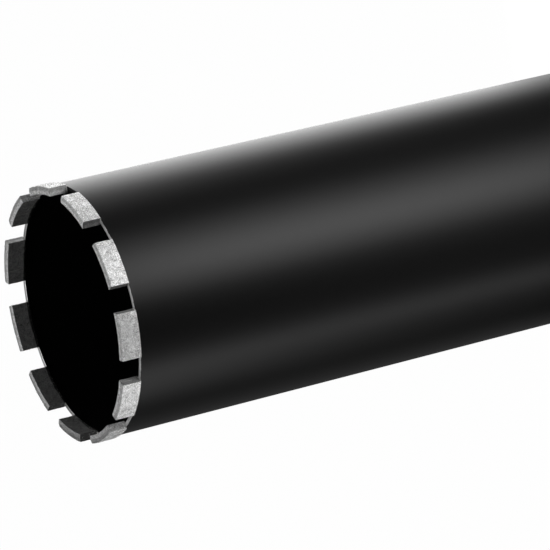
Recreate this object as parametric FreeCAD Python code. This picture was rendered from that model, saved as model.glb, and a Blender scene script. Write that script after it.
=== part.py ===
import FreeCAD, Part
import math
import os

# Diamond core bit for wet drilling, standing on its threaded hub with the crown up.
# Sizes are in millimetres. The origin is the centre of the hub's end face, and +Z
# runs up the axis to the cutting crown.

# Cutting crown: diamond segments brazed on the barrel's rim
bit_diameter = 132.0            # across the outer faces of the segments
segment_count = 11
segment_length = 24.0           # between the two parallel end faces
segment_thickness = 4.2         # in the direction of the radius
segment_height = 10.0           # from the barrel's rim to the crest of the cutting face
segment_crest_rise = 0.25       # how far the crest stands over the face's two edges
segment_face_chamfer = 0.4      # broken edges along the cutting face
segment_end_chamfer = 0.2       # broken edges round the two end faces
segment_outer_relief = 0.9      # how far the segments stand proud of the barrel outside

# Barrel: drawn steel tube
barrel_wall = 2.2
barrel_rim_chamfer = 0.25       # broken edges of the ground rim
working_depth = 450.0           # from the back plate's inner face to the crest

# Back plate: turned disc welded into the barrel's lower end
plate_flange_thickness = 6.0    # the part outside the barrel
plate_spigot_depth = 4.0        # the part inside the barrel
plate_spigot_clearance = 0.05   # on the radius
plate_edge_chamfer = 1.5
plate_inner_chamfer = 0.8       # broken edges on the barrel's side

# Seam weld between the barrel and the back plate, laid in a V groove
seam_groove_depth = 1.4
seam_bead_rise = 0.35           # how far the bead stands over the barrel

# Hub: turned coupling for a 1 1/4 inch UNC spindle, 7 threads to the inch
hub_diameter = 50.0
hub_length = 38.0               # from the end face to the back plate
hub_shoulder = 4.0              # radial width of the step that bears on the plate
hub_spigot_clearance = 0.05     # on the radius
hub_edge_chamfer = 1.5
hub_weld_leg = 5.0              # fillet weld round the hub's root
wrench_flat_depth = 4.5         # two flats, 41 across
wrench_flat_length = 24.0       # up from the end face
thread_minor_radius = 14.0
thread_major_radius = 15.875
thread_lead_in = 0.4            # how far the mouth chamfer opens past the thread

# Working sizes
crown_radius = bit_diameter / 2
segment_inner_radius = crown_radius - segment_thickness
barrel_radius = crown_radius - segment_outer_relief
barrel_inner_radius = barrel_radius - barrel_wall
plate_under_z = hub_length
barrel_foot_z = plate_under_z + plate_flange_thickness
plate_top_z = barrel_foot_z + plate_spigot_depth
crest_z = plate_top_z + working_depth
rim_z = crest_z - segment_height
hub_radius = hub_diameter / 2
plate_bore_radius = hub_radius - hub_shoulder
hub_spigot_radius = plate_bore_radius - hub_spigot_clearance
thread_mouth_radius = thread_major_radius + thread_lead_in
thread_chamfer = thread_mouth_radius - thread_minor_radius

AXIS = FreeCAD.Vector(0, 0, 1)
ORIGIN = FreeCAD.Vector(0, 0, 0)


def at(radius, z):
    """A point of a turning profile, in the XZ plane."""
    return FreeCAD.Vector(radius, 0, z)


def bowed(start, end, rise):
    """An arc from start to end that stands off its chord by rise, to its right."""
    chord = end - start
    away = FreeCAD.Vector(chord.z, 0, -chord.x).normalize()
    middle = (start + end) * 0.5 + away * rise
    return Part.Arc(start, middle, end).toShape()


def profile_face(points, bows=None):
    """The face inside a closed profile. bows maps the number of a side to its rise."""
    bows = bows or {}
    edges = []
    for number, start in enumerate(points):
        end = points[(number + 1) % len(points)]
        if number in bows:
            edges.append(bowed(start, end, bows[number]))
        else:
            edges.append(Part.makeLine(start, end))
    return Part.Face(Part.Wire(edges))


def turned(points, bows=None):
    """A full turn of a profile about the axis."""
    return profile_face(points, bows).revolve(ORIGIN, AXIS, 360)


def make_barrel():
    chamfer = barrel_rim_chamfer
    return turned([
        at(barrel_inner_radius, barrel_foot_z),
        at(barrel_radius - seam_groove_depth, barrel_foot_z),
        at(barrel_radius, barrel_foot_z + seam_groove_depth),
        at(barrel_radius, rim_z - chamfer),
        at(barrel_radius - chamfer, rim_z),
        at(barrel_inner_radius + chamfer, rim_z),
        at(barrel_inner_radius, rim_z - chamfer),
    ])


def make_back_plate():
    """The disc, its spigot, its hole for the hub and the bead of the seam weld."""
    spigot_radius = barrel_inner_radius - plate_spigot_clearance
    lower_edge = at(barrel_radius, plate_under_z + plate_edge_chamfer)
    bead_start = at(barrel_radius, barrel_foot_z - seam_groove_depth)
    bead_end = at(barrel_radius, barrel_foot_z + seam_groove_depth)
    return turned([
        at(plate_bore_radius, plate_under_z),
        at(barrel_radius - plate_edge_chamfer, plate_under_z),
        lower_edge,
        bead_start,
        bead_end,
        at(barrel_radius - seam_groove_depth, barrel_foot_z),
        at(spigot_radius, barrel_foot_z),
        at(spigot_radius, plate_top_z - plate_inner_chamfer),
        at(spigot_radius - plate_inner_chamfer, plate_top_z),
        at(plate_bore_radius + plate_inner_chamfer, plate_top_z),
        at(plate_bore_radius, plate_top_z - plate_inner_chamfer),
    ], bows={3: seam_bead_rise})


def make_hub():
    """The coupling with its through thread, spigot, root weld and wrench flats."""
    body = turned([
        at(thread_mouth_radius, 0),
        at(hub_radius - hub_edge_chamfer, 0),
        at(hub_radius, hub_edge_chamfer),
        at(hub_radius, plate_under_z - hub_weld_leg),
        at(hub_radius + hub_weld_leg, plate_under_z),
        at(hub_spigot_radius, plate_under_z),
        at(hub_spigot_radius, plate_top_z),
        at(thread_mouth_radius, plate_top_z),
        at(thread_minor_radius, plate_top_z - thread_chamfer),
        at(thread_minor_radius, thread_chamfer),
    ])
    for side in (1, -1):
        body = body.cut(wrench_flat_cutter(side))
    return body


def wrench_flat_cutter(side):
    """The block of metal milled away to leave one wrench flat, on the +Y or -Y side."""
    flat_y = hub_radius - wrench_flat_depth
    block = Part.makeBox(hub_diameter, hub_radius, wrench_flat_length)
    block.translate(FreeCAD.Vector(-hub_radius, flat_y, 0))
    if side < 0:
        block.rotate(ORIGIN, AXIS, 180)
    return block


def make_segment(number):
    """One segment: a curved bar with parallel ends, a crowned face and broken edges."""
    half_length = segment_length / 2
    half_sweep = math.degrees(math.asin(half_length / segment_inner_radius)) + 2
    face_edge_z = crest_z - segment_crest_rise
    shoulder_z = face_edge_z - segment_face_chamfer
    profile = profile_face([
        at(segment_inner_radius, rim_z),
        at(crown_radius, rim_z),
        at(crown_radius, shoulder_z),
        at(crown_radius - segment_face_chamfer, face_edge_z),
        at(segment_inner_radius + segment_face_chamfer, face_edge_z),
        at(segment_inner_radius, shoulder_z),
    ], bows={3: segment_crest_rise})
    profile.rotate(ORIGIN, AXIS, -half_sweep)
    bar = profile.revolve(ORIGIN, AXIS, 2 * half_sweep)
    slab = Part.makeBox(bit_diameter, segment_length, segment_height)
    slab.translate(FreeCAD.Vector(0, -half_length, rim_z))
    segment = bar.common(slab).Solids[0]
    end_edges = [edge for edge in segment.Edges if is_end_edge(edge)]
    segment = segment.makeChamfer(segment_end_chamfer, end_edges)
    segment.rotate(ORIGIN, AXIS, number * 360 / segment_count)
    return segment


def is_end_edge(edge):
    """Whether an edge bounds an end face of segment_01, and isn't at its foot."""
    runs_along = edge.BoundBox.YMax - edge.BoundBox.YMin > segment_length / 2
    at_foot = edge.CenterOfMass.z < rim_z + segment_height / 4
    return not runs_along and not at_foot


def main():
    parts = {
        "barrel": make_barrel(),
        "back_plate": make_back_plate(),
        "hub": make_hub(),
    }
    for number in range(segment_count):
        parts[f"segment_{number + 1:02d}"] = make_segment(number)
    os.makedirs("parts", exist_ok=True)
    for name, shape in parts.items():
        solid = shape.Solids[0]
        print(name, "valid" if solid.isValid() else "not valid", "volume", round(solid.Volume))
        solid.exportStep(f"parts/{name}.step")


main()
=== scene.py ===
import math

import bmesh
import bpy
from bpy.props import FloatProperty, FloatVectorProperty, IntProperty, PointerProperty
from mathutils import Matrix, Vector, noise


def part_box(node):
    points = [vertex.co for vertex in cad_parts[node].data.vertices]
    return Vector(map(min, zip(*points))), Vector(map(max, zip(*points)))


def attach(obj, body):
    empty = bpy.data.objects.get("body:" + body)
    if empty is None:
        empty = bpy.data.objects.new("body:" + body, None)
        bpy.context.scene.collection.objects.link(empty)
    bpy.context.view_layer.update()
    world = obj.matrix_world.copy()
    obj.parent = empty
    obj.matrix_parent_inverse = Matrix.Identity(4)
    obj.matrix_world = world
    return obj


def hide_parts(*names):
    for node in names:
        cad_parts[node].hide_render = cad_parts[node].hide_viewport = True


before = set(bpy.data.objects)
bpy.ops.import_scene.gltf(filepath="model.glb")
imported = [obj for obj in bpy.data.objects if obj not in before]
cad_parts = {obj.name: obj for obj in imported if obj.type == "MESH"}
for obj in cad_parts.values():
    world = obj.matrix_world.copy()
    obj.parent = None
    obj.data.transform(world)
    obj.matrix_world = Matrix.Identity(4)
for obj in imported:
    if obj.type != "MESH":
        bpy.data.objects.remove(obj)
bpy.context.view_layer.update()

bl_info = {
    "name": "Diamond Core Bit",
    "version": (1, 0, 0),
    "blender": (4, 5, 0),
    "location": "3D View > Sidebar > Core Bit",
    "description": "Dresses the packed diamond core bit and sets the stage for its picture",
    "category": "Object",
}

ROOT = "root"
SEGMENTS = sorted(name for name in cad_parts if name.startswith("segment_"))
MM = 0.001
TOUCH = 0.002 * MM              # two places closer than this are the same


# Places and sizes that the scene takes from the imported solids

def cad_points(node):
    """The points of a CAD node's mesh."""
    return [vertex.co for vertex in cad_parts[node].data.vertices]


def radii(points):
    """The least and the greatest distance of points from the bit's axis."""
    distances = [math.hypot(point.x, point.y) for point in points]
    return min(distances), max(distances)


def azimuth(node):
    """The direction of a CAD node's middle as seen from the bit's axis."""
    low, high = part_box(node)
    middle = (low + high) / 2
    return math.atan2(middle.y, middle.x)


BARREL_INNER, BARREL_OUTER = radii(cad_points("barrel"))
BARREL_FOOT, RIM = (corner.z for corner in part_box("barrel"))
SEGMENT_INNER, SEGMENT_OUTER = radii(cad_points(SEGMENTS[0]))
SEGMENT_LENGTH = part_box(SEGMENTS[0])[1].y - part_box(SEGMENTS[0])[0].y
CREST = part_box(SEGMENTS[0])[1].z
SEGMENT_MIDDLE = (SEGMENT_INNER + SEGMENT_OUTER) / 2
PLATE_BORE = radii(cad_points("back_plate"))[0]
PLATE_UNDER, PLATE_TOP = (corner.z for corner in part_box("back_plate"))
HUB_POINTS = cad_points("hub")
THREAD_MINOR = radii(HUB_POINTS)[0]
THREAD_MOUTH, HUB_END_RADIUS = radii([point for point in HUB_POINTS if point.z < TOUCH])
HUB_RADIUS = radii([point for point in HUB_POINTS if point.z < PLATE_UNDER / 2])[1]
HUB_SPIGOT = radii([point for point in HUB_POINTS if point.z > PLATE_TOP - TOUCH])[1]
FLAT_Y = max(point.y for point in HUB_POINTS if point.z < PLATE_UNDER / 2)
FLAT_TOP = max(point.z for point in HUB_POINTS
               if abs(point.y - FLAT_Y) < TOUCH and abs(point.x) > HUB_RADIUS / 2)
THREAD_LEAD_IN = 0.4 * MM       # how far the mouth's chamfer opens past the thread
THREAD_MAJOR = THREAD_MOUTH - THREAD_LEAD_IN
# The gap between the last segment and the first, where the rim is left black as painted shade
GAP_AZIMUTH = azimuth(SEGMENTS[-1]) / 2
SHADED_GAP = (BARREL_OUTER * math.cos(GAP_AZIMUTH), BARREL_OUTER * math.sin(GAP_AZIMUTH), RIM)


# Sizes and colours that a user would change

class SteelSettings(bpy.types.PropertyGroup):
    """The barrel, the plate and the hub, with their paint and bare steel."""

    facets: IntProperty(name="Facets", description="Sides of the tube", default=720, min=64)
    rim_round: FloatProperty(
        name="Rim round", description="Radius of the broken edges of the rim",
        default=0.25 * MM, unit="LENGTH")
    edge_round: FloatProperty(
        name="Edge round", description="Radius of the broken edges of the plate and the hub",
        default=0.3 * MM, unit="LENGTH")
    bare_outside: FloatProperty(
        name="Bare strip outside", description="Bare steel below the rim, where the paint stops",
        default=0.08 * MM, unit="LENGTH")
    bare_inside: FloatProperty(
        name="Bare strip inside", description="Bare steel below the rim on the inner wall",
        default=0.15 * MM, unit="LENGTH")
    # Painted shade: within this reach of that gap the rim keeps its black paint
    shade_reach: FloatProperty(
        name="Shade reach", description="Reach of the painted shade that keeps the rim black in one gap",
        default=9 * MM, unit="LENGTH")
    plate_chamfer: FloatProperty(
        name="Plate chamfer", description="Chamfer of the back plate's outer edge",
        default=1.5 * MM, unit="LENGTH")
    spigot_clearance: FloatProperty(
        name="Spigot clearance", description="Gap between the plate's spigot and the barrel",
        default=0.05 * MM, unit="LENGTH")
    bead_width: FloatProperty(
        name="Seam width", description="Width of the seam weld", default=2.8 * MM, unit="LENGTH")
    bead_rise: FloatProperty(
        name="Seam rise", description="How far the seam weld stands over the barrel",
        default=0.35 * MM, unit="LENGTH")
    thread_pitch: FloatProperty(
        name="Thread pitch", description="Rise of the thread in one turn, 7 turns to the inch",
        default=25.4 / 7 * MM, unit="LENGTH")
    thread_overcut: FloatProperty(
        name="Thread overcut", description="How far the groove's cutter reaches into the bore",
        default=0.4 * MM, unit="LENGTH")
    hub_color: FloatVectorProperty(
        name="Hub colour", description="Colour of the hub's turned and oiled steel",
        subtype="COLOR", default=(0.4, 0.4, 0.39))
    seam_ripples: IntProperty(
        name="Seam ripples", description="Ripples round the seam weld", default=236, min=3)
    hub_ripples: IntProperty(
        name="Hub ripples", description="Ripples round the hub's root weld", default=72, min=3)
    hub_weld_inset: FloatProperty(
        name="Hub weld inset", description="How deep the root weld's middle lies in its corner",
        default=1.4 * MM, unit="LENGTH")
    hub_weld_radius: FloatProperty(
        name="Hub weld radius", description="Radius of the root weld's round section",
        default=6.55 * MM, unit="LENGTH")
    hub_paint_line: FloatProperty(
        name="Hub paint line", description="Height on the hub at which the black paint ends",
        default=(FLAT_TOP + PLATE_UNDER) / 2 - 1.5 * MM, unit="LENGTH")
    paint_color: FloatVectorProperty(
        name="Paint colour", description="Colour of the black paint", subtype="COLOR",
        default=(0.003, 0.003, 0.003))
    paint_roughness: FloatProperty(
        name="Paint roughness", description="Roughness of the satin paint", default=0.38)
    paint_specular: FloatProperty(
        name="Paint specular", description="Specular level of the satin paint", default=0.18)
    orange_peel: FloatProperty(
        name="Orange peel", description="Depth of the paint's fine waves",
        default=0.003 * MM, unit="LENGTH")
    steel_color: FloatVectorProperty(
        name="Steel colour", description="Colour of the machined steel", subtype="COLOR",
        default=(0.7, 0.7, 0.7))


class CrownSettings(bpy.types.PropertyGroup):
    """The diamond segments."""

    edge_round: FloatProperty(
        name="Edge round", description="Radius of a segment's edges",
        default=0.16 * MM, unit="LENGTH")
    crest_rise: FloatProperty(
        name="Crest rise", description="How far the cutting face bulges in its middle",
        default=0.25 * MM, unit="LENGTH")
    mesh_step: FloatProperty(
        name="Mesh step", description="Distance between the points of a segment's surface",
        default=0.35 * MM, unit="LENGTH")
    pitting: FloatProperty(
        name="Pitting", description="Depth of the blasted surface's fine unevenness",
        default=0.045 * MM, unit="LENGTH")
    waviness: FloatProperty(
        name="Waviness", description="Depth of the pressed surface's soft unevenness",
        default=0.09 * MM, unit="LENGTH")
    chipping: FloatProperty(
        name="Chipping", description="Depth of the small chips along the edges",
        default=1.2 * MM, unit="LENGTH")
    length_spread: FloatProperty(
        name="Length spread", description="How much the segments differ in length",
        default=0.25 * MM, unit="LENGTH")
    grain_density: FloatProperty(
        name="Grain density", description="Diamond grains for each square metre of surface",
        default=9e5)
    grain_radius: FloatProperty(
        name="Grain radius", description="Radius of the largest diamond grains",
        default=0.18 * MM, unit="LENGTH")
    braze_radius: FloatProperty(
        name="Braze radius", description="Thickness of the solder round a segment's foot",
        default=0.26 * MM, unit="LENGTH")
    braze_unevenness: FloatProperty(
        name="Braze unevenness", description="How much the solder's thickness varies",
        default=1.6)
    matrix_color: FloatVectorProperty(
        name="Matrix colour", description="Colour of the sintered metal", subtype="COLOR",
        default=(0.57, 0.57, 0.57))
    speckle: FloatProperty(
        name="Speckle", description="Contrast of the matrix's light and dark spots", default=1.5)
    metallic: FloatProperty(
        name="Metallic", description="Share of metal in the matrix's finish", default=0.35)
    skin_level: FloatProperty(
        name="Skin level", description="Brightness of the blasted outer faces", default=1.1)
    pit_level: FloatProperty(
        name="Pit level", description="Brightness of the pits in the outer faces", default=0.25)
    # Painted shade: the end faces are made darker than the rest of the matrix
    end_shade: FloatProperty(
        name="End shade", description="Brightness of the end faces", default=0.28)
    inner_level: FloatProperty(
        name="Inner level", description="Brightness of the inner faces", default=0.5)
    inner_layer: FloatProperty(
        name="Inner layer", description="Brightness of the layer on the bore's side",
        default=1.15)
    outer_layer: FloatProperty(
        name="Outer layer", description="Brightness of the layer on the outside", default=0.75)


class StageSettings(bpy.types.PropertyGroup):
    """The camera, the floor and the lights."""

    camera_distance: FloatProperty(
        name="Camera distance", description="From the camera to the point it looks at",
        default=1.9375, unit="LENGTH")
    camera_azimuth: FloatProperty(
        name="Camera azimuth", description="Direction of the camera from the bit's axis",
        default=math.radians(-82.552), subtype="ANGLE")
    camera_elevation: FloatProperty(
        name="Camera elevation", description="Angle of the camera over the horizon",
        default=math.radians(26.82), subtype="ANGLE")
    camera_roll: FloatProperty(
        name="Camera roll", description="Clockwise turn of the camera, which lays the bit down",
        default=math.radians(103.608), subtype="ANGLE")
    aim_height: FloatProperty(
        name="Aim height", description="Height of the point that the camera looks at",
        default=376.60 * MM, unit="LENGTH")
    aim_offset: FloatProperty(
        name="Aim offset", description="How far that point lies to the right of the bit's axis",
        default=-5.35 * MM, unit="LENGTH")
    lens: FloatProperty(name="Lens", description="Focal length in millimetres", default=246.25)
    floor_color: FloatVectorProperty(
        name="Floor colour", description="Colour of the pale floor", subtype="COLOR",
        default=(0.9, 0.9, 0.9))
    floor_glow: FloatProperty(
        name="Floor glow", description="Share of plain white in what a viewer sees of the floor",
        default=0.985)


# Mesh helpers

def link_new(name, data):
    """A new object at the origin, linked to the scene."""
    piece = bpy.data.objects.new(name, data)
    bpy.context.scene.collection.objects.link(piece)
    return piece


def face_outwards(mesh, triangulate=False):
    """Turns the faces of a closed mesh outwards, and cuts them into triangles if asked."""
    work = bmesh.new()
    work.from_mesh(mesh)
    bmesh.ops.recalc_face_normals(work, faces=work.faces)
    if triangulate:
        bmesh.ops.triangulate(work, faces=work.faces)
    work.to_mesh(mesh)
    work.free()


def place(name, mesh, smooth_angle=math.radians(30)):
    """Links a closed mesh as an object at the origin, smooth but for its sharp edges."""
    mesh.name = name
    face_outwards(mesh)
    mesh.shade_smooth()
    mesh.set_sharp_from_angle(angle=smooth_angle)
    return link_new(name, mesh)


def evaluated_mesh(piece):
    """A plain mesh of what the modifiers make of a piece."""
    bpy.context.view_layer.update()
    evaluated = piece.evaluated_get(bpy.context.evaluated_depsgraph_get())
    return bpy.data.meshes.new_from_object(evaluated)


def straighten(piece):
    """Shades large faces straight, so that only the roundings beside them look round."""
    weigh = piece.modifiers.new("straighten", "WEIGHTED_NORMAL")
    weigh.keep_sharp = True
    mesh = evaluated_mesh(piece)
    mesh.name = piece.name
    piece.modifiers.clear()
    piece.data = mesh
    return piece


def new_mesh(name, vertices, faces, finish=None):
    """A mesh of vertices and faces, with a material where finish gives one."""
    mesh = bpy.data.meshes.new(name)
    mesh.from_pydata([tuple(v) for v in vertices], [], faces)
    mesh.validate()
    if finish:
        mesh.materials.append(finish)
    return mesh


def dress(piece, slot, *nodes):
    """Makes a piece ride on the bit and stand for CAD nodes, which it hides. slot is not used.
    """
    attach(piece, ROOT)
    if nodes:
        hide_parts(*nodes)


def rounded(corners, steps=3):
    """Points of a closed profile of (radius, z, round) corners, each with its own rounding."""
    points = []
    for number, (radius, z, bend) in enumerate(corners):
        here = Vector((radius, z))
        if bend == 0:
            points.append(here)
            continue
        before = (Vector(corners[number - 1][:2]) - here).normalized()
        after = (Vector(corners[(number + 1) % len(corners)][:2]) - here).normalized()
        half = before.angle(after) / 2
        centre = here + (before + after).normalized() * (bend / math.sin(half))
        spoke = here + before * (bend / math.tan(half)) - centre
        sweep = math.copysign(math.pi - 2 * half, after.cross(before))
        for step in range(steps + 1):
            points.append(centre + Matrix.Rotation(sweep * step / steps, 2) @ spoke)
    return points


def turned(profile, angles):
    """Vertices and faces of a closed profile of (radius, z) points, turned about the axis."""
    vertices = []
    for angle in angles:
        for radius, z in profile:
            vertices.append(Vector((radius * math.cos(angle), radius * math.sin(angle), z)))
    count = len(profile)
    faces = []
    for side in range(len(angles)):
        here, there = side * count, (side + 1) % len(angles) * count
        for point in range(count):
            ahead = (point + 1) % count
            faces.append((here + point, there + point, there + ahead, here + ahead))
    return vertices, faces


# Node helpers

def node_tree(name, inputs):
    """A geometry node tree that takes and gives geometry, and its input sockets."""
    tree = bpy.data.node_groups.new(name, "GeometryNodeTree")
    tree.interface.new_socket("Geometry", in_out="INPUT", socket_type="NodeSocketGeometry")
    for label, kind in inputs.items():
        tree.interface.new_socket(label, in_out="INPUT", socket_type="NodeSocket" + kind)
    tree.interface.new_socket("Geometry", in_out="OUTPUT", socket_type="NodeSocketGeometry")
    return tree, add(tree, "NodeGroupInput").outputs


def socket_by(sockets, key):
    """The socket of that number, name or identifier."""
    if isinstance(key, int):
        return sockets[key]
    for socket in sockets:
        if socket.identifier == key or socket.name == key:
            return socket
    raise KeyError(f"no socket {key}")


def feed(tree, socket, value):
    """Gives a socket a value, or links another node's output socket to it."""
    if isinstance(value, bpy.types.NodeSocket):
        tree.links.new(value, socket)
    else:
        socket.default_value = value


def add(tree, kind, inputs=None, **settings):
    """Adds a node. inputs maps a socket to a value or to another node's output socket."""
    node = tree.nodes.new(kind)
    for name, value in settings.items():
        setattr(node, name, value)
    for key, value in (inputs or {}).items():
        feed(tree, socket_by(node.inputs, key), value)
    return node


def result(tree, kind, inputs=None, **settings):
    """The first output of a new node."""
    return add(tree, kind, inputs, **settings).outputs[0]


def math_node(tree, operation, *values):
    """The result of a Math node on sockets or numbers."""
    return result(tree, "ShaderNodeMath", dict(enumerate(values)), operation=operation)


def scaled(tree, vector, factor):
    """A vector or colour times a number."""
    return result(tree, "ShaderNodeVectorMath", {0: vector, "Scale": factor}, operation="SCALE")


def blend(tree, mask, low, high):
    """low where a mask is 0, and high where it is 1."""
    return result(tree, "ShaderNodeMix", {"Factor": mask, 2: low, 3: high}, data_type="FLOAT")


def noise_value(tree, spot, scale, detail, **inputs):
    """The value of a noise texture, mostly between 0.3 and 0.7."""
    return add(tree, "ShaderNodeTexNoise",
               {"Vector": spot, "Scale": scale, "Detail": detail, **inputs}).outputs["Fac"]


def ramp(tree, value, start, end, low=0.0, high=1.0):
    """A value that goes from low to high while another goes from start to end."""
    return result(tree, "ShaderNodeMapRange", {
        "Value": value, "From Min": start, "From Max": end, "To Min": low, "To Max": high})


def wander(tree, noise_level, low, high):
    """A value that wanders between low and high with a noise texture's value."""
    return ramp(tree, noise_level, 0.3, 0.7, low, high)


def position(tree):
    """Sockets of the place on the bit: its coordinates, distance from the axis and height."""
    spot = add(tree, "ShaderNodeTexCoord").outputs["Object"]
    parts = add(tree, "ShaderNodeSeparateXYZ", {0: spot}).outputs
    flat = result(tree, "ShaderNodeCombineXYZ", {"X": parts["X"], "Y": parts["Y"]})
    radius = add(tree, "ShaderNodeVectorMath", {0: flat}, operation="LENGTH").outputs["Value"]
    return spot, radius, parts["Z"]


def attribute_parts(tree, name):
    """The three parts of a vector attribute."""
    vector = add(tree, "ShaderNodeAttribute", attribute_name=name).outputs["Vector"]
    return add(tree, "ShaderNodeSeparateXYZ", {0: vector}).outputs


def finish_tree(tree, geometry, finish):
    """Ends a tree: its instances made real, in one material."""
    whole = result(tree, "GeometryNodeRealizeInstances", {"Geometry": geometry})
    coated = result(tree, "GeometryNodeSetMaterial", {"Geometry": whole, "Material": finish})
    add(tree, "NodeGroupOutput", {"Geometry": coated})
    return tree


def run_tree(tree, name, values, source=None, smooth_angle=math.radians(30)):
    """Runs a tree on a source mesh and returns its result as a plain mesh object."""
    carrier = link_new(name, source or bpy.data.meshes.new(name))
    modifier = carrier.modifiers.new(name, "NODES")
    modifier.node_group = tree
    for item in tree.interface.items_tree:
        if item.in_out == "INPUT" and item.name in values:
            modifier[item.identifier] = values[item.name]
    mesh = evaluated_mesh(carrier)
    bpy.data.objects.remove(carrier)
    for index in reversed(range(len(mesh.materials))):
        if mesh.materials[index] is None:
            mesh.materials.pop(index=index)
    return place(name, mesh, smooth_angle)


# Shared shader node groups. Each gives values only, which the materials use.

def shader_group(name, inputs, outputs):
    """A shader node group and the sockets that feed it."""
    group = bpy.data.node_groups.new(name, "ShaderNodeTree")
    for label, default in inputs.items():
        socket = group.interface.new_socket(label, in_out="INPUT", socket_type="NodeSocketFloat")
        socket.default_value = default
    for label in outputs:
        group.interface.new_socket(label, in_out="OUTPUT", socket_type="NodeSocketFloat")
    return group, add(group, "NodeGroupInput").outputs


def speckle_group():
    """Fine and coarse grain: Level wanders round 1 by Contrast, and Height with the fine one."""
    if "speckle" in bpy.data.node_groups:
        return bpy.data.node_groups["speckle"]
    group, given = shader_group("speckle", {"Scale": 1000.0, "Contrast": 0.3},
                                ("Level", "Height"))
    spot = add(group, "ShaderNodeTexCoord").outputs["Object"]
    fine = noise_value(group, spot, given["Scale"], 3.0, Roughness=0.7)
    coarse_scale = math_node(group, "MULTIPLY", given["Scale"], 0.17)
    coarse = noise_value(group, spot, coarse_scale, 2.0)
    fine_part, coarse_part = (
        math_node(group, "MULTIPLY", math_node(group, "SUBTRACT", level, 0.5), weight)
        for level, weight in ((fine, 3.2), (coarse, 0.8)))
    both = math_node(group, "ADD", fine_part, coarse_part)
    level = math_node(group, "MULTIPLY_ADD", both, given["Contrast"], 1.0)
    add(group, "NodeGroupOutput", {"Level": level, "Height": fine})
    return group


def machining_group():
    """The fine rings that a lathe or a grinder leaves round the axis."""
    if "machining" in bpy.data.node_groups:
        return bpy.data.node_groups["machining"]
    group, given = shader_group("machining", {"Spacing": 0.0003, "Contrast": 0.2},
                                ("Level", "Height"))
    _, radius, height = position(group)
    ring = math_node(group, "ADD", radius, height)
    phase = math_node(group, "DIVIDE", ring, given["Spacing"])
    steps = add(group, "ShaderNodeTexNoise", {"W": phase, "Scale": 1.0, "Detail": 3.0},
                noise_dimensions="1D").outputs["Fac"]
    centred = math_node(group, "SUBTRACT", steps, 0.5)
    level = math_node(group, "MULTIPLY_ADD", centred, given["Contrast"], 1.0)
    add(group, "NodeGroupOutput", {"Level": level, "Height": steps})
    return group


def use_group(tree, group, **values):
    """Puts a shared group into a material and returns its outputs."""
    return add(tree, "ShaderNodeGroup", values, node_tree=group).outputs


def material(name):
    """An empty material: the material, its node tree and its Principled BSDF."""
    made = bpy.data.materials.new(name)
    made.use_nodes = True
    return made, made.node_tree, made.node_tree.nodes["Principled BSDF"]


def set_shader(tree, shader, **values):
    """Feeds the shader's own sockets, with _ for the spaces in their names."""
    for name, value in values.items():
        feed(tree, shader.inputs[name.replace("_", " ")], value)


def relief(tree, height, strength=1.0, distance=1.0):
    """A normal bent to a height, in metres where distance is 1."""
    return result(tree, "ShaderNodeBump",
                  {"Height": height, "Strength": strength, "Distance": distance})


def grey(value):
    """An opaque grey."""
    return (value, value, value, 1.0)


# Finishes

def painted_steel(name, settings, bare_mask=None, steel_color=None):
    """Satin black paint, with bare machined steel where bare_mask gives 1."""
    made, tree, shader = material(name)
    grain = use_group(tree, speckle_group(), Scale=2600.0, Contrast=0.35)
    skin = use_group(tree, speckle_group(), Scale=420.0, Contrast=1.0)
    color = scaled(tree, settings.paint_color, grain["Level"])
    roughness = math_node(tree, "MULTIPLY_ADD", skin["Height"], 0.04,
                          settings.paint_roughness - 0.02)
    height = math_node(tree, "MULTIPLY", skin["Height"], settings.orange_peel)
    if bare_mask:
        bare = bare_mask(tree)
        rings = use_group(tree, machining_group(), Spacing=0.16 * MM, Contrast=1.1)
        steel = scaled(tree, steel_color or settings.steel_color, rings["Level"])
        color = add(tree, "ShaderNodeMix", {"Factor": bare, 6: color, 7: steel},
                    data_type="RGBA").outputs[2]
        roughness = blend(tree, bare, roughness, 0.42)
        cut = math_node(tree, "MULTIPLY", rings["Height"], 0.02 * MM)
        height = blend(tree, bare, height, cut)
        set_shader(tree, shader, Metallic=bare)
    set_shader(tree, shader, Base_Color=color, Roughness=roughness,
               Normal=relief(tree, height), Specular_IOR_Level=settings.paint_specular)
    return made


def rim_mask(settings):
    """Bare steel at the barrel's rim, down to a slightly ragged edge of the paint, but black
    near one gap as painted shade.
    """
    def build(tree):
        spot, radius, height = position(tree)
        strip = ramp(tree, radius, BARREL_INNER, BARREL_OUTER,
                     settings.bare_inside, settings.bare_outside)
        ragged = noise_value(tree, spot, 900.0, 3.0)
        edge = math_node(tree, "ADD", strip, wander(tree, ragged, -0.1 * MM, 0.1 * MM))
        below = math_node(tree, "SUBTRACT", RIM, height)
        bare = math_node(tree, "LESS_THAN", below, edge)
        # Painted shade: near the shaded gap the rim keeps its black paint instead of bare steel
        gap_distance = add(tree, "ShaderNodeVectorMath", {0: spot, 1: SHADED_GAP},
                  operation="DISTANCE").outputs["Value"]
        shade_edge = math_node(tree, "ADD", gap_distance, wander(tree, ragged, -MM, MM))
        clear = math_node(tree, "GREATER_THAN", shade_edge, settings.shade_reach)
        return math_node(tree, "MULTIPLY", bare, clear)
    return build


def hub_mask(settings):
    """Bare steel in the thread and on the hub, up to the edge of the back plate's paint."""
    def build(tree):
        spot, radius, height = position(tree)
        inside = math_node(tree, "LESS_THAN", radius, THREAD_MOUTH + 0.15 * MM)
        line = wander(tree, noise_value(tree, spot, 160.0, 2.0),
                      settings.hub_paint_line - 0.3 * MM, settings.hub_paint_line + 0.3 * MM)
        clean = ramp(tree, math_node(tree, "SUBTRACT", line, height), -0.1 * MM, 0.1 * MM)
        return math_node(tree, "MAXIMUM", inside, clean)
    return build


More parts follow.
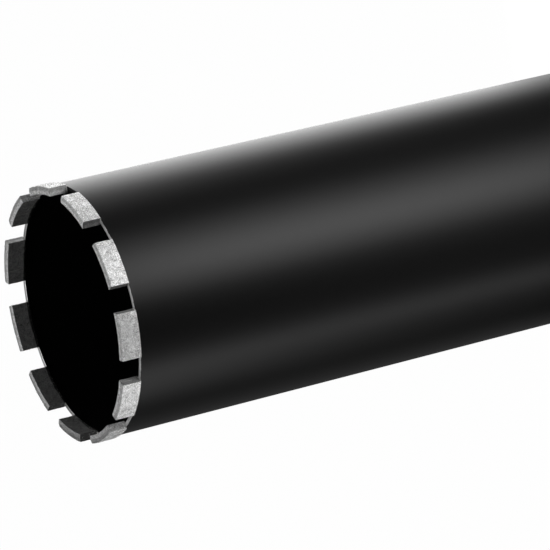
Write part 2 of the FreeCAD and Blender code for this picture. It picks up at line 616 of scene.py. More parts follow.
def diamond_matrix(settings):
    """Sintered metal in two layers, blasted pale and pitted on the outside.

    Its ends are darker, as painted shade, and each segment's faces are made paler or darker
    after how they are lit, as painted light and shade. Its inner faces are darker, and black
    below a ragged line a little over the rim."""
    made, tree, shader = material("diamond_matrix_skin")
    spot, radius, height = position(tree)
    # pale holds each segment's painted light and shade: X for its ends, Y for its cutting face
    # and Z for its outside
    sides, pale = attribute_parts(tree, "facing"), attribute_parts(tree, "painted_light")
    outer = ramp(tree, sides["Y"], 0.45, 0.9)
    inner = ramp(tree, sides["Y"], -0.6, -0.9)
    end = ramp(tree, math_node(tree, "ABSOLUTE", sides["X"]), 0.5, 0.9)
    layer = ramp(tree, radius, SEGMENT_MIDDLE - 0.3 * MM, SEGMENT_MIDDLE + 0.3 * MM,
                 settings.inner_layer, settings.outer_layer)
    pits = add(tree, "ShaderNodeTexVoronoi", {"Vector": spot, "Scale": 2200.0})
    pit = ramp(tree, pits.outputs["Distance"], 0.1, 0.32, settings.pit_level, 1.0)
    skin = math_node(tree, "MULTIPLY", pit, settings.skin_level)
    # Inner faces: darker, and black below a ragged line a little over the rim
    dark_line = wander(tree, noise_value(tree, spot, 45.0, 5.0),
                       RIM + 0.5 * MM, RIM + 1.7 * MM)
    over_dark_line = math_node(tree, "SUBTRACT", height, dark_line)
    inner_tone = ramp(tree, over_dark_line, -0.15 * MM, 0.15 * MM, 0.02, settings.inner_level)
    # Painted shade: the end faces are darkened by End shade and by each segment's own painted
    # light and shade
    end_shade = math_node(tree, "MULTIPLY", pale["X"], settings.end_shade)
    level = math_node(tree, "MULTIPLY", layer, pale["Y"])
    level = blend(tree, outer, level, math_node(tree, "MULTIPLY", skin, pale["Z"]))
    level = blend(tree, inner, level, inner_tone)
    level = blend(tree, end, level, math_node(tree, "MULTIPLY", layer, end_shade))
    grain = use_group(tree, speckle_group(), Scale=2600.0, Contrast=settings.speckle)
    level = math_node(tree, "MULTIPLY", grain["Level"], level)
    depth = math_node(tree, "ADD", math_node(tree, "MULTIPLY", grain["Height"], 0.11 * MM),
                      math_node(tree, "MULTIPLY", pit, 0.03 * MM))
    set_shader(tree, shader, Base_Color=scaled(tree, settings.matrix_color, level),
               Normal=relief(tree, depth), Metallic=settings.metallic, Roughness=0.55)
    return made


def grit():
    """The diamond grains that stand a little out of the matrix."""
    made, tree, shader = material("diamond_grit")
    grain = use_group(tree, speckle_group(), Scale=700.0, Contrast=0.8)
    set_shader(tree, shader, Base_Color=scaled(tree, (0.42, 0.42, 0.40), grain["Level"]),
               Roughness=0.25, IOR=2.0, Metallic=0.2)
    return made


def braze():
    """The silver solder that runs out round a segment's foot."""
    made, tree, shader = material("silver_braze")
    grain = use_group(tree, speckle_group(), Scale=1900.0, Contrast=0.4)
    set_shader(tree, shader, Base_Color=scaled(tree, (0.45, 0.45, 0.44), grain["Level"]),
               Normal=relief(tree, grain["Height"], strength=0.4, distance=0.05 * MM),
               Metallic=1.0, Roughness=0.36)
    return made


# Pieces

def barrel_tree():
    """A closed tube: a rounded section swept round a circle."""
    tree, given = node_tree("tube", {
        "Inner Radius": "Float", "Outer Radius": "Float", "Foot": "Float", "Rim": "Float",
        "Rim Round": "Float", "Facets": "Int", "Material": "Material"})
    wall = math_node(tree, "SUBTRACT", given["Outer Radius"], given["Inner Radius"])
    length = math_node(tree, "SUBTRACT", given["Rim"], given["Foot"])
    radius = math_node(tree, "MULTIPLY_ADD", wall, 0.5, given["Inner Radius"])
    height = math_node(tree, "MULTIPLY_ADD", length, 0.5, given["Foot"])
    section = result(tree, "GeometryNodeCurvePrimitiveQuadrilateral",
                     {"Width": wall, "Height": length})
    eased = result(tree, "GeometryNodeFilletCurve",
                   {"Curve": section, "Count": 3, "Radius": given["Rim Round"],
                    "Limit Radius": True}, mode="POLY")
    circle = result(tree, "GeometryNodeCurvePrimitiveCircle",
                    {"Resolution": given["Facets"], "Radius": radius})
    swept = result(tree, "GeometryNodeCurveToMesh", {"Curve": circle, "Profile Curve": eased})
    lift = result(tree, "ShaderNodeCombineXYZ", {"Z": height})
    lifted = result(tree, "GeometryNodeTransform", {"Geometry": swept, "Translation": lift})
    return finish_tree(tree, lifted, given["Material"])


def make_barrel(settings):
    """The tube, with its rim ground bare."""
    barrel = run_tree(barrel_tree(), "barrel_tube", {
        "Inner Radius": BARREL_INNER, "Outer Radius": BARREL_OUTER, "Foot": BARREL_FOOT,
        "Rim": RIM, "Rim Round": settings.rim_round, "Facets": settings.facets,
        "Material": painted_steel("barrel_finish", settings, rim_mask(settings))})
    dress(straighten(barrel), "black_paint", "barrel")


RIPPLE_STEPS = 6                # sections along a ripple of a weld bead
BEAD_SIDES = 40                 # sides of a section


def bead_tree():
    """A weld bead round the axis: a thick ring with the ripples that the torch leaves."""
    tree, given = node_tree("weld_bead", {
        "Ring Radius": "Float", "Height": "Float", "Bead Radius": "Float", "Ripples": "Int",
        "Ripple Depth": "Float", "Wander": "Float", "Material": "Material"})
    count = math_node(tree, "MULTIPLY", given["Ripples"], RIPPLE_STEPS)
    circle = result(tree, "GeometryNodeCurvePrimitiveCircle",
                    {"Resolution": count, "Radius": given["Ring Radius"]})
    spot = result(tree, "GeometryNodeInputPosition")
    drift = add(tree, "ShaderNodeTexNoise", {"Vector": spot, "Scale": 70.0, "Detail": 2.0})
    centred = result(tree, "ShaderNodeVectorMath",
                     {0: drift.outputs["Color"], 1: (0.5, 0.5, 0.5)}, operation="SUBTRACT")
    lift = result(tree, "ShaderNodeCombineXYZ", {"Z": given["Height"]})
    offset = result(tree, "ShaderNodeVectorMath",
                    {0: scaled(tree, centred, given["Wander"]), 1: lift})
    laid = result(tree, "GeometryNodeSetPosition", {"Geometry": circle, "Offset": offset})
    index = result(tree, "GeometryNodeInputIndex")
    phase = math_node(tree, "FRACT", math_node(tree, "DIVIDE", index, RIPPLE_STEPS))
    lean = math_node(tree, "POWER", phase, 1.6)
    swell = math_node(tree, "SINE", math_node(tree, "MULTIPLY", lean, math.pi))
    scale = math_node(tree, "MULTIPLY_ADD", swell, given["Ripple Depth"], 1.0)
    section = result(tree, "GeometryNodeCurvePrimitiveCircle",
                     {"Resolution": BEAD_SIDES, "Radius": given["Bead Radius"]})
    swept = result(tree, "GeometryNodeCurveToMesh",
                   {"Curve": laid, "Profile Curve": section, "Scale": scale})
    return finish_tree(tree, swept, given["Material"])


PLATE_SIDES = 288               # sides of the turned plate


def make_back_plate(settings):
    """The plate with its broken edges, and the seam weld that holds the barrel on it."""
    finish = painted_steel("plate_finish", settings)
    ease = settings.edge_round
    chamfer = settings.plate_chamfer
    spigot = BARREL_INNER - settings.spigot_clearance
    profile = rounded([
        (PLATE_BORE, PLATE_UNDER, 0),
        (BARREL_OUTER - chamfer, PLATE_UNDER, ease),
        (BARREL_OUTER, PLATE_UNDER + chamfer, ease),
        (BARREL_OUTER, BARREL_FOOT, 0),
        (spigot, BARREL_FOOT, 0),
        (spigot, PLATE_TOP, ease),
        (PLATE_BORE, PLATE_TOP, ease),
    ])
    angles = [2 * math.pi * n / PLATE_SIDES for n in range(PLATE_SIDES)]
    mesh = new_mesh("back_plate", *turned(profile, angles), finish)
    dress(straighten(place("back_plate_disc", mesh)), "black_paint", "back_plate")
    rise = settings.bead_rise
    bead_radius = (settings.bead_width ** 2 / 4 + rise ** 2) / (2 * rise)
    bead = run_tree(bead_tree(), "seam_weld", {
        "Ring Radius": BARREL_OUTER + rise - bead_radius, "Height": BARREL_FOOT,
        "Bead Radius": bead_radius, "Ripples": settings.seam_ripples,
        "Ripple Depth": 0.028, "Wander": 0.35 * MM, "Material": finish},
        smooth_angle=math.radians(60))
    dress(bead, "black_paint", "back_plate")


THREAD_STEPS = 96               # sections along a turn of the thread
FLANK_ANGLE = math.radians(30)  # between a flank and the radius


def thread_tree():
    """Cuts a right-handed helical groove, wider towards the bore, out of the mesh."""
    tree, given = node_tree("thread", {
        "Helix Radius": "Float", "Groove Depth": "Float", "Groove Mouth": "Float",
        "Groove Floor": "Float", "Pitch": "Float", "Turns": "Float", "Start": "Float",
        "Material": "Material"})
    height = math_node(tree, "MULTIPLY", given["Pitch"], given["Turns"])
    helix = result(tree, "GeometryNodeCurveSpiral",
                   {"Resolution": THREAD_STEPS, "Rotations": given["Turns"], "Reverse": True,
                    "Start Radius": given["Helix Radius"], "End Radius": given["Helix Radius"],
                    "Height": height})
    upright = result(tree, "GeometryNodeSetCurveNormal", {"Curve": helix}, mode="Z_UP")
    lift = result(tree, "ShaderNodeCombineXYZ", {"Z": given["Start"]})
    placed = result(tree, "GeometryNodeTransform", {"Geometry": upright, "Translation": lift})
    groove = result(tree, "GeometryNodeCurvePrimitiveQuadrilateral",
                    {"Height": given["Groove Depth"], "Bottom Width": given["Groove Mouth"],
                     "Top Width": given["Groove Floor"], "Offset": 0.0}, mode="TRAPEZOID")
    floor_outwards = result(tree, "GeometryNodeTransform",
                            {"Geometry": groove, "Rotation": (0.0, 0.0, -math.pi / 2)})
    cutter = result(tree, "GeometryNodeCurveToMesh",
                    {"Curve": placed, "Profile Curve": floor_outwards, "Fill Caps": True})
    cut = result(tree, "GeometryNodeMeshBoolean",
                 {"Mesh 1": given["Geometry"], "Mesh 2": cutter},
                 operation="DIFFERENCE", solver="MANIFOLD")
    return finish_tree(tree, cut, given["Material"])


ROUND_SIDES, FLAT_SIDES = 44, 28  # of the hub, round each round part and along each flat
FLAT_STEP = 0.001 * MM          # height of the sloping step on top of the flats
SHOULDER = PLATE_UNDER + 0.5 * MM  # where the hub narrows to its spigot, inside the plate


def hub_blank(settings, finish):
    """The hub's turned body with its two wrench flats, before the thread is cut."""
    ease = settings.edge_round
    mouth = THREAD_MOUTH - THREAD_MINOR
    profile = rounded([
        (THREAD_MOUTH, 0, ease),
        (HUB_END_RADIUS, 0, ease),
        (HUB_RADIUS, HUB_RADIUS - HUB_END_RADIUS, ease),
        (HUB_RADIUS, FLAT_TOP, 0),
        (HUB_RADIUS, FLAT_TOP + FLAT_STEP, 0),
        (HUB_RADIUS, SHOULDER, 0),
        (HUB_SPIGOT, SHOULDER, 0),
        (HUB_SPIGOT, PLATE_TOP, ease),
        (THREAD_MOUTH, PLATE_TOP, ease),
        (THREAD_MINOR, PLATE_TOP - mouth, 0),
        (THREAD_MINOR, mouth, 0),
    ])
    corner = math.asin(FLAT_Y / HUB_RADIUS)
    angles = []
    for start, end, count in ((-corner, corner, ROUND_SIDES),
                              (corner, math.pi - corner, FLAT_SIDES),
                              (math.pi - corner, math.pi + corner, ROUND_SIDES),
                              (math.pi + corner, 2 * math.pi - corner, FLAT_SIDES)):
        angles += [start + (end - start) * n / count for n in range(count)]
    vertices, faces = turned(profile, angles)
    for vertex in vertices:
        if vertex.z < FLAT_TOP + FLAT_STEP / 2:
            vertex.y = min(max(vertex.y, -FLAT_Y), FLAT_Y)
    mesh = new_mesh("hub", vertices, faces, finish)
    face_outwards(mesh, triangulate=True)
    return mesh


def make_hub(settings):
    """The coupling: turned body, two wrench flats, a cut thread and a root weld."""
    finish = painted_steel("hub_finish", settings, hub_mask(settings), settings.hub_color)
    pitch = settings.thread_pitch
    reach = THREAD_MAJOR - THREAD_MINOR + settings.thread_overcut
    floor_width = pitch / 8     # the unified thread's form
    # The cutter begins a turn below the hub and ends a turn above it.
    hub = run_tree(thread_tree(), "hub_body", {
        "Helix Radius": THREAD_MAJOR - reach / 2, "Groove Depth": reach,
        "Groove Mouth": floor_width + 2 * reach * math.tan(FLANK_ANGLE),
        "Groove Floor": floor_width, "Pitch": pitch, "Start": -pitch,
        "Turns": PLATE_TOP / pitch + 2.0, "Material": finish},
        source=hub_blank(settings, finish))
    dress(straighten(hub), "hub_steel", "hub")
    bead = run_tree(bead_tree(), "hub_weld", {
        "Ring Radius": HUB_RADIUS - settings.hub_weld_inset,
        "Height": PLATE_UNDER + settings.hub_weld_inset,
        "Bead Radius": settings.hub_weld_radius, "Ripples": settings.hub_ripples,
        "Ripple Depth": 0.02, "Wander": 0.5 * MM,
        "Material": painted_steel("hub_weld_finish", settings)}, smooth_angle=math.radians(60))
    dress(bead, "black_paint", "hub")


EDGE_SHARES = (0, 0.3, 0.65)    # where a rounded edge's points lie, in shares of its radius


def stations(length, edge, step):
    """Places along a side of that length: close together in both rounded edges."""
    near = [edge * share for share in EDGE_SHARES]
    inner = length - 2 * edge
    count = max(1, round(inner / step))
    middle = [edge + inner * n / count for n in range(count + 1)]
    return near + middle + [length - place_along for place_along in reversed(near)]


def box_shell(counts):
    """Lattice points and outward faces of the surface of a block of counts cells."""
    index = {}
    faces = []
    for axis in range(3):
        across, along = (axis + 1) % 3, (axis + 2) % 3
        for side in (0, counts[axis]):
            for first in range(counts[across]):
                for second in range(counts[along]):
                    square = []
                    for a, b in ((0, 0), (1, 0), (1, 1), (0, 1)):
                        point = [0, 0, 0]
                        point[axis] = side
                        point[across] = first + a
                        point[along] = second + b
                        square.append(index.setdefault(tuple(point), len(index)))
                    faces.append(square if side else square[::-1])
    return list(index), faces


# How far the crest of each segment, from segment_01 on, stands over its nominal height
CREST_OFFSETS = (0.0, -0.1 * MM, 0.05 * MM, -0.3 * MM, -0.2 * MM, 0.05 * MM, 0.0, 0.25 * MM,
                 0.3 * MM, -0.25 * MM, -0.25 * MM)

# How pale each segment's ends, cutting face and outside are. This is painted light and shade:
# each segment's faces are made paler or darker after how brightly they are lit round the ring.
END_PAINTED_LIGHT = (1.8, 1.4, 1.0, 1.0, 0.05, 0.05, 4.8, 1.2, 1.2, 1.0, 0.9)
FACE_PAINTED_LIGHT = (1.0, 1.0, 0.92, 0.9, 0.75, 0.52, 0.72, 1.05, 1.1, 1.1, 1.25)
OUTER_PAINTED_LIGHT = (1.1, 1.0, 1.0, 1.0, 1.0, 1.0, 1.12, 1.2, 0.82, 1.05, 1.0)

CREST_POWER = 8                 # how fast the crown's bulge dies away below the crest
FOOT_FADE = 6                   # how fast the unevenness grows from the foot upwards
PIT_SIZE = 0.7 * MM             # sizes of the pits, swells and chips in the surface
SWELL_SIZE = 3.5 * MM
CHIP_SIZE = 0.9 * MM
SWELL_LEVEL = 0.35              # noise at which the surface is level
CHIP_START = 0.12               # noise at which a chip begins
SEED_SHIFT = (7.31, 3.17, 5.23)  # how far the noise moves on from segment to segment


def segment_mesh(node, length, height, settings, seed):
    """A curved bar with parallel ends, rounded edges, a crowned face and a blasted skin.

    Its facing attribute has the direction that each point faces: X along the bar, Y
    outwards and Z up. Its painted_light attribute has the painted light and shade of the ends,
    the cutting face and the outside."""
    thickness = SEGMENT_OUTER - SEGMENT_INNER
    edge = settings.edge_round
    sides = [stations(size, edge, settings.mesh_step) for size in (length, thickness, height)]
    points, faces = box_shell([len(side) - 1 for side in sides])
    turn = Matrix.Rotation(azimuth(node), 3, "Z")
    shift = Vector([seed * step for step in SEED_SHIFT])
    vertices, facing = [], []
    for i, j, k in points:
        spot = Vector((sides[0][i] - length / 2, sides[1][j] - thickness / 2, sides[2][k]))
        core = Vector((
            min(max(spot.x, edge - length / 2), length / 2 - edge),
            min(max(spot.y, edge - thickness / 2), thickness / 2 - edge),
            min(spot.z, height - edge)))
        away = spot - core
        normal = Vector((0, 0, -1))
        if away.length > 0:
            normal = away.normalized()
            spot = core + normal * edge
        lifted = spot.z / height
        across = spot.y / (thickness / 2)
        spot.z -= settings.crest_rise * across * across * max(0, lifted) ** CREST_POWER
        skin = noise.noise(spot / PIT_SIZE + shift) * settings.pitting
        swell = (noise.noise(spot / SWELL_SIZE + shift) - SWELL_LEVEL) * settings.waviness
        corner = 1 - max(abs(normal.x), abs(normal.y), abs(normal.z))
        chip_depth = min(0, CHIP_START - noise.noise(spot / CHIP_SIZE - shift))
        chip = chip_depth * settings.chipping * corner
        spot += normal * (skin + swell + chip) * min(1.0, lifted * FOOT_FADE)
        radius = SEGMENT_MIDDLE + spot.y
        bent = Vector((math.sqrt(radius ** 2 - spot.x ** 2), spot.x, RIM + spot.z))
        vertices.append(turn @ bent)
        facing.extend(normal)
    # Painted light and shade of this segment's ends, cutting face and outside
    painted_light = (END_PAINTED_LIGHT[seed], FACE_PAINTED_LIGHT[seed], OUTER_PAINTED_LIGHT[seed]) * len(vertices)
    mesh = new_mesh(node, vertices, faces)
    for label, values in (("facing", facing), ("painted_light", painted_light)):
        mesh.attributes.new(label, "FLOAT_VECTOR", "POINT").data.foreach_set("vector", values)
    return mesh


GRAIN_LEAST = 0.45              # radius of the smallest grains, as a share of the largest's
GRAIN_SINK = 0.45               # how deep a grain's middle lies, as a share of its radius
GRAIN_TURN = (6.28, 6.28, 6.28)  # the greatest turn of a grain about each axis, in radians


def grain_tree():
    """A segment's body with diamond grains scattered over it, most of each one sunk in."""
    tree, given = node_tree("grains", {
        "Density": "Float", "Grain Radius": "Float", "Seed": "Int",
        "Body Material": "Material", "Grain Material": "Material"})
    points = add(tree, "GeometryNodeDistributePointsOnFaces", {
        "Mesh": given["Geometry"], "Density": given["Density"], "Seed": given["Seed"]}).outputs
    crystal = result(tree, "GeometryNodeMeshIcoSphere", {"Radius": 1.0, "Subdivisions": 1})
    marked = result(tree, "GeometryNodeStoreNamedAttribute",
                    {"Geometry": crystal, "Name": "grain", "Value": True},
                    data_type="BOOLEAN", domain="FACE")
    size = add(tree, "FunctionNodeRandomValue",
               {"Min_001": GRAIN_LEAST, "Max_001": 1.0, "Seed": given["Seed"]},
               data_type="FLOAT")
    scale = math_node(tree, "MULTIPLY", socket_by(size.outputs, "Value_001"),
                      given["Grain Radius"])
    turn = add(tree, "FunctionNodeRandomValue",
               {"Min": (0.0, 0.0, 0.0), "Max": GRAIN_TURN, "Seed": given["Seed"]},
               data_type="FLOAT_VECTOR")
    sink = scaled(tree, points["Normal"], math_node(tree, "MULTIPLY", scale, -GRAIN_SINK))
    sunk = result(tree, "GeometryNodeSetPosition",
                  {"Geometry": points["Points"], "Offset": sink})
    grains = result(tree, "GeometryNodeInstanceOnPoints",
                    {"Points": sunk, "Instance": marked,
                     "Rotation": socket_by(turn.outputs, "Value"), "Scale": scale})
    both = add(tree, "GeometryNodeJoinGeometry")
    for geometry in (grains, given["Geometry"]):
        tree.links.new(geometry, both.inputs[0])
    whole = result(tree, "GeometryNodeRealizeInstances", {"Geometry": both.outputs[0]})
    body = result(tree, "GeometryNodeSetMaterial",
                  {"Geometry": whole, "Material": given["Body Material"]})
    mark = add(tree, "GeometryNodeInputNamedAttribute", {"Name": "grain"}, data_type="BOOLEAN")
    coated = result(tree, "GeometryNodeSetMaterial",
                    {"Geometry": body, "Selection": mark.outputs["Attribute"],
                     "Material": given["Grain Material"]})
    add(tree, "NodeGroupOutput", {"Geometry": coated})
    return tree


BRAZE_STEP = 0.35 * MM          # between the sections of the solder's rope
BRAZE_SIDES = 8                 # sides of a section
BRAZE_GAP = 0.05 * MM           # how far the rope's middle lies from the barrel and the ends
BRAZE_OFFSET = 0.1 * MM         # how far it lies under the rim, and over it at the ends
LONG_STEPS, SHORT_STEPS = 24, 4  # of the rope along a segment's sides and its ends


def braze_tree():
    """A rope of solder along the path that comes in, thicker here and thinner there."""
    tree, given = node_tree("braze", {
        "Rope Radius": "Float", "Unevenness": "Float", "Material": "Material"})
    path = result(tree, "GeometryNodeMeshToCurve", {"Mesh": given["Geometry"]})
    fine = result(tree, "GeometryNodeResampleCurve", {"Curve": path, "Length": BRAZE_STEP},
                  mode="LENGTH")
    lumps = noise_value(tree, result(tree, "GeometryNodeInputPosition"), 420.0, 2.0)
    centred = math_node(tree, "SUBTRACT", lumps, 0.5)
    scale = math_node(tree, "MULTIPLY_ADD", centred, given["Unevenness"], 1.0)
    section = result(tree, "GeometryNodeCurvePrimitiveCircle",
                     {"Resolution": BRAZE_SIDES, "Radius": given["Rope Radius"]})
    swept = result(tree, "GeometryNodeCurveToMesh",
                   {"Curve": fine, "Profile Curve": section, "Scale": scale})
    return finish_tree(tree, swept, given["Material"])


def foot_path(node, length):
    """A closed line round a segment's foot, on the rim and under both overhangs."""
    half = length / 2
    turn = Matrix.Rotation(azimuth(node), 3, "Z")
    outer, inner = BARREL_OUTER + BRAZE_GAP, BARREL_INNER - BRAZE_GAP
    line = []
    for radius, other, start in ((outer, inner, -half), (inner, outer, half)):
        for n in range(LONG_STEPS + 1):
            along = start - 2 * start * n / LONG_STEPS
            line.append((math.sqrt(radius ** 2 - along ** 2), along, RIM - BRAZE_OFFSET))
        side = math.copysign(half + BRAZE_GAP, -start)
        for n in range(SHORT_STEPS):
            reach = radius + (other - radius) * (n + 0.5) / SHORT_STEPS
            line.append((math.sqrt(reach ** 2 - side ** 2), side, RIM + BRAZE_OFFSET))
    mesh = bpy.data.meshes.new(node + "_foot")
    edges = [(n, (n + 1) % len(line)) for n in range(len(line))]
    mesh.from_pydata([turn @ Vector(point) for point in line], edges, [])
    return mesh


LENGTH_SEED = 11
LENGTH_MIDDLE = 0.6             # random number at which a segment has its nominal length


def make_segments(settings):
    """The eleven segments, each with its own length, skin, grains and solder."""
    finish, grains, solder = diamond_matrix(settings), grit(), braze()
    scatter, rope = grain_tree(), braze_tree()
    noise.seed_set(LENGTH_SEED)
    for seed, (node, offset) in enumerate(zip(SEGMENTS, CREST_OFFSETS)):
        length = SEGMENT_LENGTH + settings.length_spread * (noise.random() - LENGTH_MIDDLE)
        blank = segment_mesh(node, length, CREST - RIM + offset, settings, seed)
        body = run_tree(scatter, node + "_body", {
            "Density": settings.grain_density, "Grain Radius": settings.grain_radius,
            "Seed": seed, "Body Material": finish, "Grain Material": grains},
            source=blank, smooth_angle=math.radians(35))
        dress(body, "diamond_matrix", node)
        fillet = run_tree(rope, node + "_braze", {
            "Rope Radius": settings.braze_radius, "Unevenness": settings.braze_unevenness,
            "Material": solder},
            source=foot_path(node, length), smooth_angle=math.radians(60))
        dress(fillet, "diamond_matrix", node)


# Stage. Lengths are in metres, bearings are from the camera, and all angles in the tables
# are in degrees.

# Upright strips round the bit: the circle they stand on, and name, bearing, width and radiance
STRIP_RADIUS, STRIP_LOW, STRIP_HIGH = 0.36, 0.01, 0.40
STRIPS = (
    ("edge_fade", -138, 46, 0.13),
    ("edge_strip", -64, 15, 2.2),
    ("key_rise", 6, 12, 3.8),
    ("key_strip", 18, 12, 7.2),
    ("key_fall", 30, 12, 5.4),
    ("key_fade", 43, 14, 2.0),
    ("rim_rise", 114, 12, 1.1),
    ("rim_strip", 138, 36, 2.15),
    ("rim_far", 168, 24, 3.0),
)

# Boxes that face the crown from further off: name, bearing, elevation and radiance
BOX_WIDTH, BOX_HEIGHT, BOX_DISTANCE = 0.5, 0.3, 1.5
BOXES = (
    ("left_box", -80, -12, 13.0),
    ("right_box", 105, -12, 13.4),
)

TOP_RADIANCE, TOP_SIZE, TOP_HEIGHT = 1.7, 2.0, 2.6  # the square light over the bit
WORLD_LEVEL = 0.08              # strength of the world's light on the scene
FLOOR_HALF = 30.0               # from the floor's middle to its sides

# The black flag's section as (radius, height), and the bearings that it goes between
FLAG_SECTION = ((0.10, 0.002), (0.85, 0.002), (0.95, 0.05), (1.0, 0.15), (1.0, 1.6))
FLAG_START, FLAG_END, FLAG_STEPS = -205, 115, 80


def soft_box(name, radiance, width, height, place_at, facing):
    """A rectangular soft light at a point, facing along a direction."""
    lamp = bpy.data.lights.new(name, "AREA")
    lamp.shape = "RECTANGLE"
    lamp.size = width
    lamp.size_y = height
    lamp.energy = radiance * math.pi * width * height
    piece = link_new(name, lamp)
    piece.location = place_at
    piece.rotation_mode = "QUATERNION"
    piece.rotation_quaternion = (-facing).to_track_quat("Z", "Y")
    piece.visible_camera = False


def make_lights(face):
    """The strips, the boxes and the top light, where face is the camera's azimuth."""
    middle = Vector((0, 0, (STRIP_LOW + STRIP_HIGH) / 2))
    for name, bearing, spread, radiance in STRIPS:
        side = face + math.radians(bearing)
        out = Vector((math.cos(side), math.sin(side), 0))
        width = 2 * STRIP_RADIUS * math.tan(math.radians(spread) / 2)
        soft_box(name, radiance, width, STRIP_HIGH - STRIP_LOW,
                 out * STRIP_RADIUS + middle, -out)
    for name, bearing, elevation, radiance in BOXES:
        side = face + math.radians(bearing)
        out = Vector((math.cos(side), math.sin(side), math.tan(math.radians(elevation))))
        out.normalize()
        soft_box(name, radiance, BOX_WIDTH, BOX_HEIGHT,
                 Vector((0, 0, CREST)) + out * BOX_DISTANCE, -out)
    soft_box("top_box", TOP_RADIANCE, TOP_SIZE, TOP_SIZE, Vector((0, 0, TOP_HEIGHT)),
             Vector((0, 0, -1)))


def seen_white(tree):
    """1 for the rays of the camera, of reflections and of clear glass, and 0 for the rest."""
    rays = add(tree, "ShaderNodeLightPath").outputs
    seen = math_node(tree, "MAXIMUM", rays["Is Camera Ray"], rays["Is Glossy Ray"])
    return math_node(tree, "MAXIMUM", seen, rays["Is Transmission Ray"])


def make_world():
    """A world that is seen white, and lights the scene only a little."""
    world = bpy.data.worlds.new("studio")
    bpy.context.scene.world = world
    world.use_nodes = True
    tree = world.node_tree
    background = tree.nodes["Background"]
    strength = ramp(tree, seen_white(tree), 0.0, 1.0, WORLD_LEVEL, 1.0)
    set_shader(tree, background, Color=grey(1.0), Strength=strength)


def make_floor(settings):
    """A wide pale floor, white to a viewer but for the shadow on it."""
    made, tree, shader = material("floor_white")
    set_shader(tree, shader, Base_Color=(*settings.floor_color, 1.0), Roughness=0.9)
    glow = math_node(tree, "MULTIPLY", seen_white(tree), settings.floor_glow)
    white = result(tree, "ShaderNodeEmission", {"Color": grey(1.0), "Strength": 1.0})
    mixed = result(tree, "ShaderNodeMixShader", {0: glow, 1: shader.outputs[0], 2: white})
    tree.links.new(mixed, tree.nodes["Material Output"].inputs["Surface"])
    half = FLOOR_HALF
    floor = new_mesh("floor", [(-half, -half, 0), (half, -half, 0), (half, half, 0),
                               (-half, half, 0)], [(0, 1, 2, 3)], made)
    link_new("floor", floor)


def make_flag(face):
    """A black card bent round the bit, for reflections only, open on its far side."""
    vertices = []
    for step in range(FLAG_STEPS + 1):
        bearing = FLAG_START + (FLAG_END - FLAG_START) * step / FLAG_STEPS
        angle = face + math.radians(bearing)
        for radius, z in FLAG_SECTION:
            vertices.append((radius * math.cos(angle), radius * math.sin(angle), z))
    count = len(FLAG_SECTION)
    faces = [(s * count + p, s * count + p + 1, (s + 1) * count + p + 1, (s + 1) * count + p)
             for s in range(FLAG_STEPS) for p in range(count - 1)]
    made, tree, shader = material("flag_felt")
    set_shader(tree, shader, Base_Color=grey(0.01), Roughness=1.0, Specular_IOR_Level=0.0)
    flag = link_new("black_flag", new_mesh("black_flag", vertices, faces, made))
    flag.visible_camera = False
    flag.visible_diffuse = False
    flag.visible_transmission = False
    flag.visible_shadow = False


def make_camera(settings):
    """The scene's camera, turned clockwise by its roll."""
    data = bpy.data.cameras.new("camera")
    data.lens = settings.lens
    data.sensor_width = 36.0
    data.clip_end = 100.0
    camera = link_new("camera", data)
    face, elevation = settings.camera_azimuth, settings.camera_elevation
    back = Vector((math.cos(face) * math.cos(elevation), math.sin(face) * math.cos(elevation),
                   math.sin(elevation)))
    side = Vector((-math.sin(face), math.cos(face), 0))
    target = side * settings.aim_offset + Vector((0, 0, settings.aim_height))
    camera.location = target + back * settings.camera_distance
    level = back.to_track_quat("Z", "Y").to_matrix()
    roll = Matrix.Rotation(-settings.camera_roll, 3, "Z")
    camera.rotation_mode = "QUATERNION"
    camera.rotation_quaternion = (level @ roll).to_quaternion()
    bpy.context.scene.camera = camera


def make_stage(settings):
    """The world, the floor, the flag, the lights and the camera."""
    make_world()
    make_floor(settings)
    make_flag(settings.camera_azimuth)
    make_lights(settings.camera_azimuth)
    make_camera(settings)
    bpy.context.scene.view_settings.view_transform = "Standard"


# Operators

class COREBIT_OT_make_barrel(bpy.types.Operator):
    """Make the painted barrel"""

    bl_idname = "corebit.make_barrel"
    bl_label = "Barrel"

    def execute(self, context):
        make_barrel(context.scene.corebit_steel)
        return {"FINISHED"}


class COREBIT_OT_make_back_plate(bpy.types.Operator):
    """Make the back plate and its seam weld"""

    bl_idname = "corebit.make_back_plate"
    bl_label = "Back plate"

    def execute(self, context):
        make_back_plate(context.scene.corebit_steel)
        return {"FINISHED"}


class COREBIT_OT_make_hub(bpy.types.Operator):
    """Make the threaded hub and its root weld"""

    bl_idname = "corebit.make_hub"
    bl_label = "Hub"

    def execute(self, context):
        make_hub(context.scene.corebit_steel)
        return {"FINISHED"}


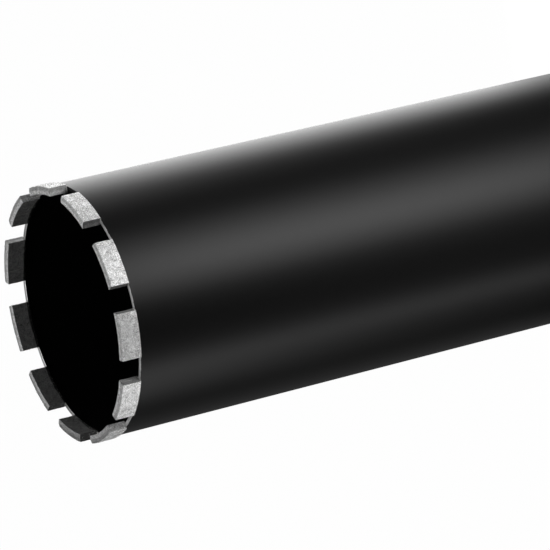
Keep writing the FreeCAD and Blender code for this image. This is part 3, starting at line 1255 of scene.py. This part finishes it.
class COREBIT_OT_make_segments(bpy.types.Operator):
    """Make the diamond segments of the crown"""

    bl_idname = "corebit.make_segments"
    bl_label = "Segments"

    def execute(self, context):
        make_segments(context.scene.corebit_crown)
        return {"FINISHED"}


class COREBIT_OT_make_stage(bpy.types.Operator):
    """Set up the floor, the lights and the camera"""

    bl_idname = "corebit.make_stage"
    bl_label = "Stage"

    def execute(self, context):
        make_stage(context.scene.corebit_stage)
        return {"FINISHED"}


OPERATORS = (
    COREBIT_OT_make_barrel,
    COREBIT_OT_make_back_plate,
    COREBIT_OT_make_hub,
    COREBIT_OT_make_segments,
    COREBIT_OT_make_stage,
)
SETTINGS = {
    "corebit_steel": SteelSettings,
    "corebit_crown": CrownSettings,
    "corebit_stage": StageSettings,
}


class COREBIT_PT_panel(bpy.types.Panel):
    """The steps that dress the core bit, and the sizes they use"""

    bl_idname = "COREBIT_PT_panel"
    bl_label = "Core Bit"
    bl_space_type = "VIEW_3D"
    bl_region_type = "UI"
    bl_category = "Core Bit"

    def draw(self, context):
        for operator in OPERATORS:
            self.layout.operator(operator.bl_idname)
        for label in SETTINGS:
            box = self.layout.box()
            group = getattr(context.scene, label)
            for name in group.bl_rna.properties.keys():
                if name not in ("rna_type", "name"):
                    box.prop(group, name)


def register():
    """Registers the settings, the operators and the panel."""
    for label, group in SETTINGS.items():
        bpy.utils.register_class(group)
        setattr(bpy.types.Scene, label, PointerProperty(type=group))
    for cls in (*OPERATORS, COREBIT_PT_panel):
        bpy.utils.register_class(cls)


def unregister():
    """Takes back what register did."""
    for cls in (COREBIT_PT_panel, *reversed(OPERATORS)):
        bpy.utils.unregister_class(cls)
    for label, group in SETTINGS.items():
        delattr(bpy.types.Scene, label)
        bpy.utils.unregister_class(group)


def main():
    """Makes every piece and the stage."""
    register()
    bpy.ops.corebit.make_barrel()
    bpy.ops.corebit.make_back_plate()
    bpy.ops.corebit.make_hub()
    bpy.ops.corebit.make_segments()
    bpy.ops.corebit.make_stage()


if __name__ == "__main__":
    main()
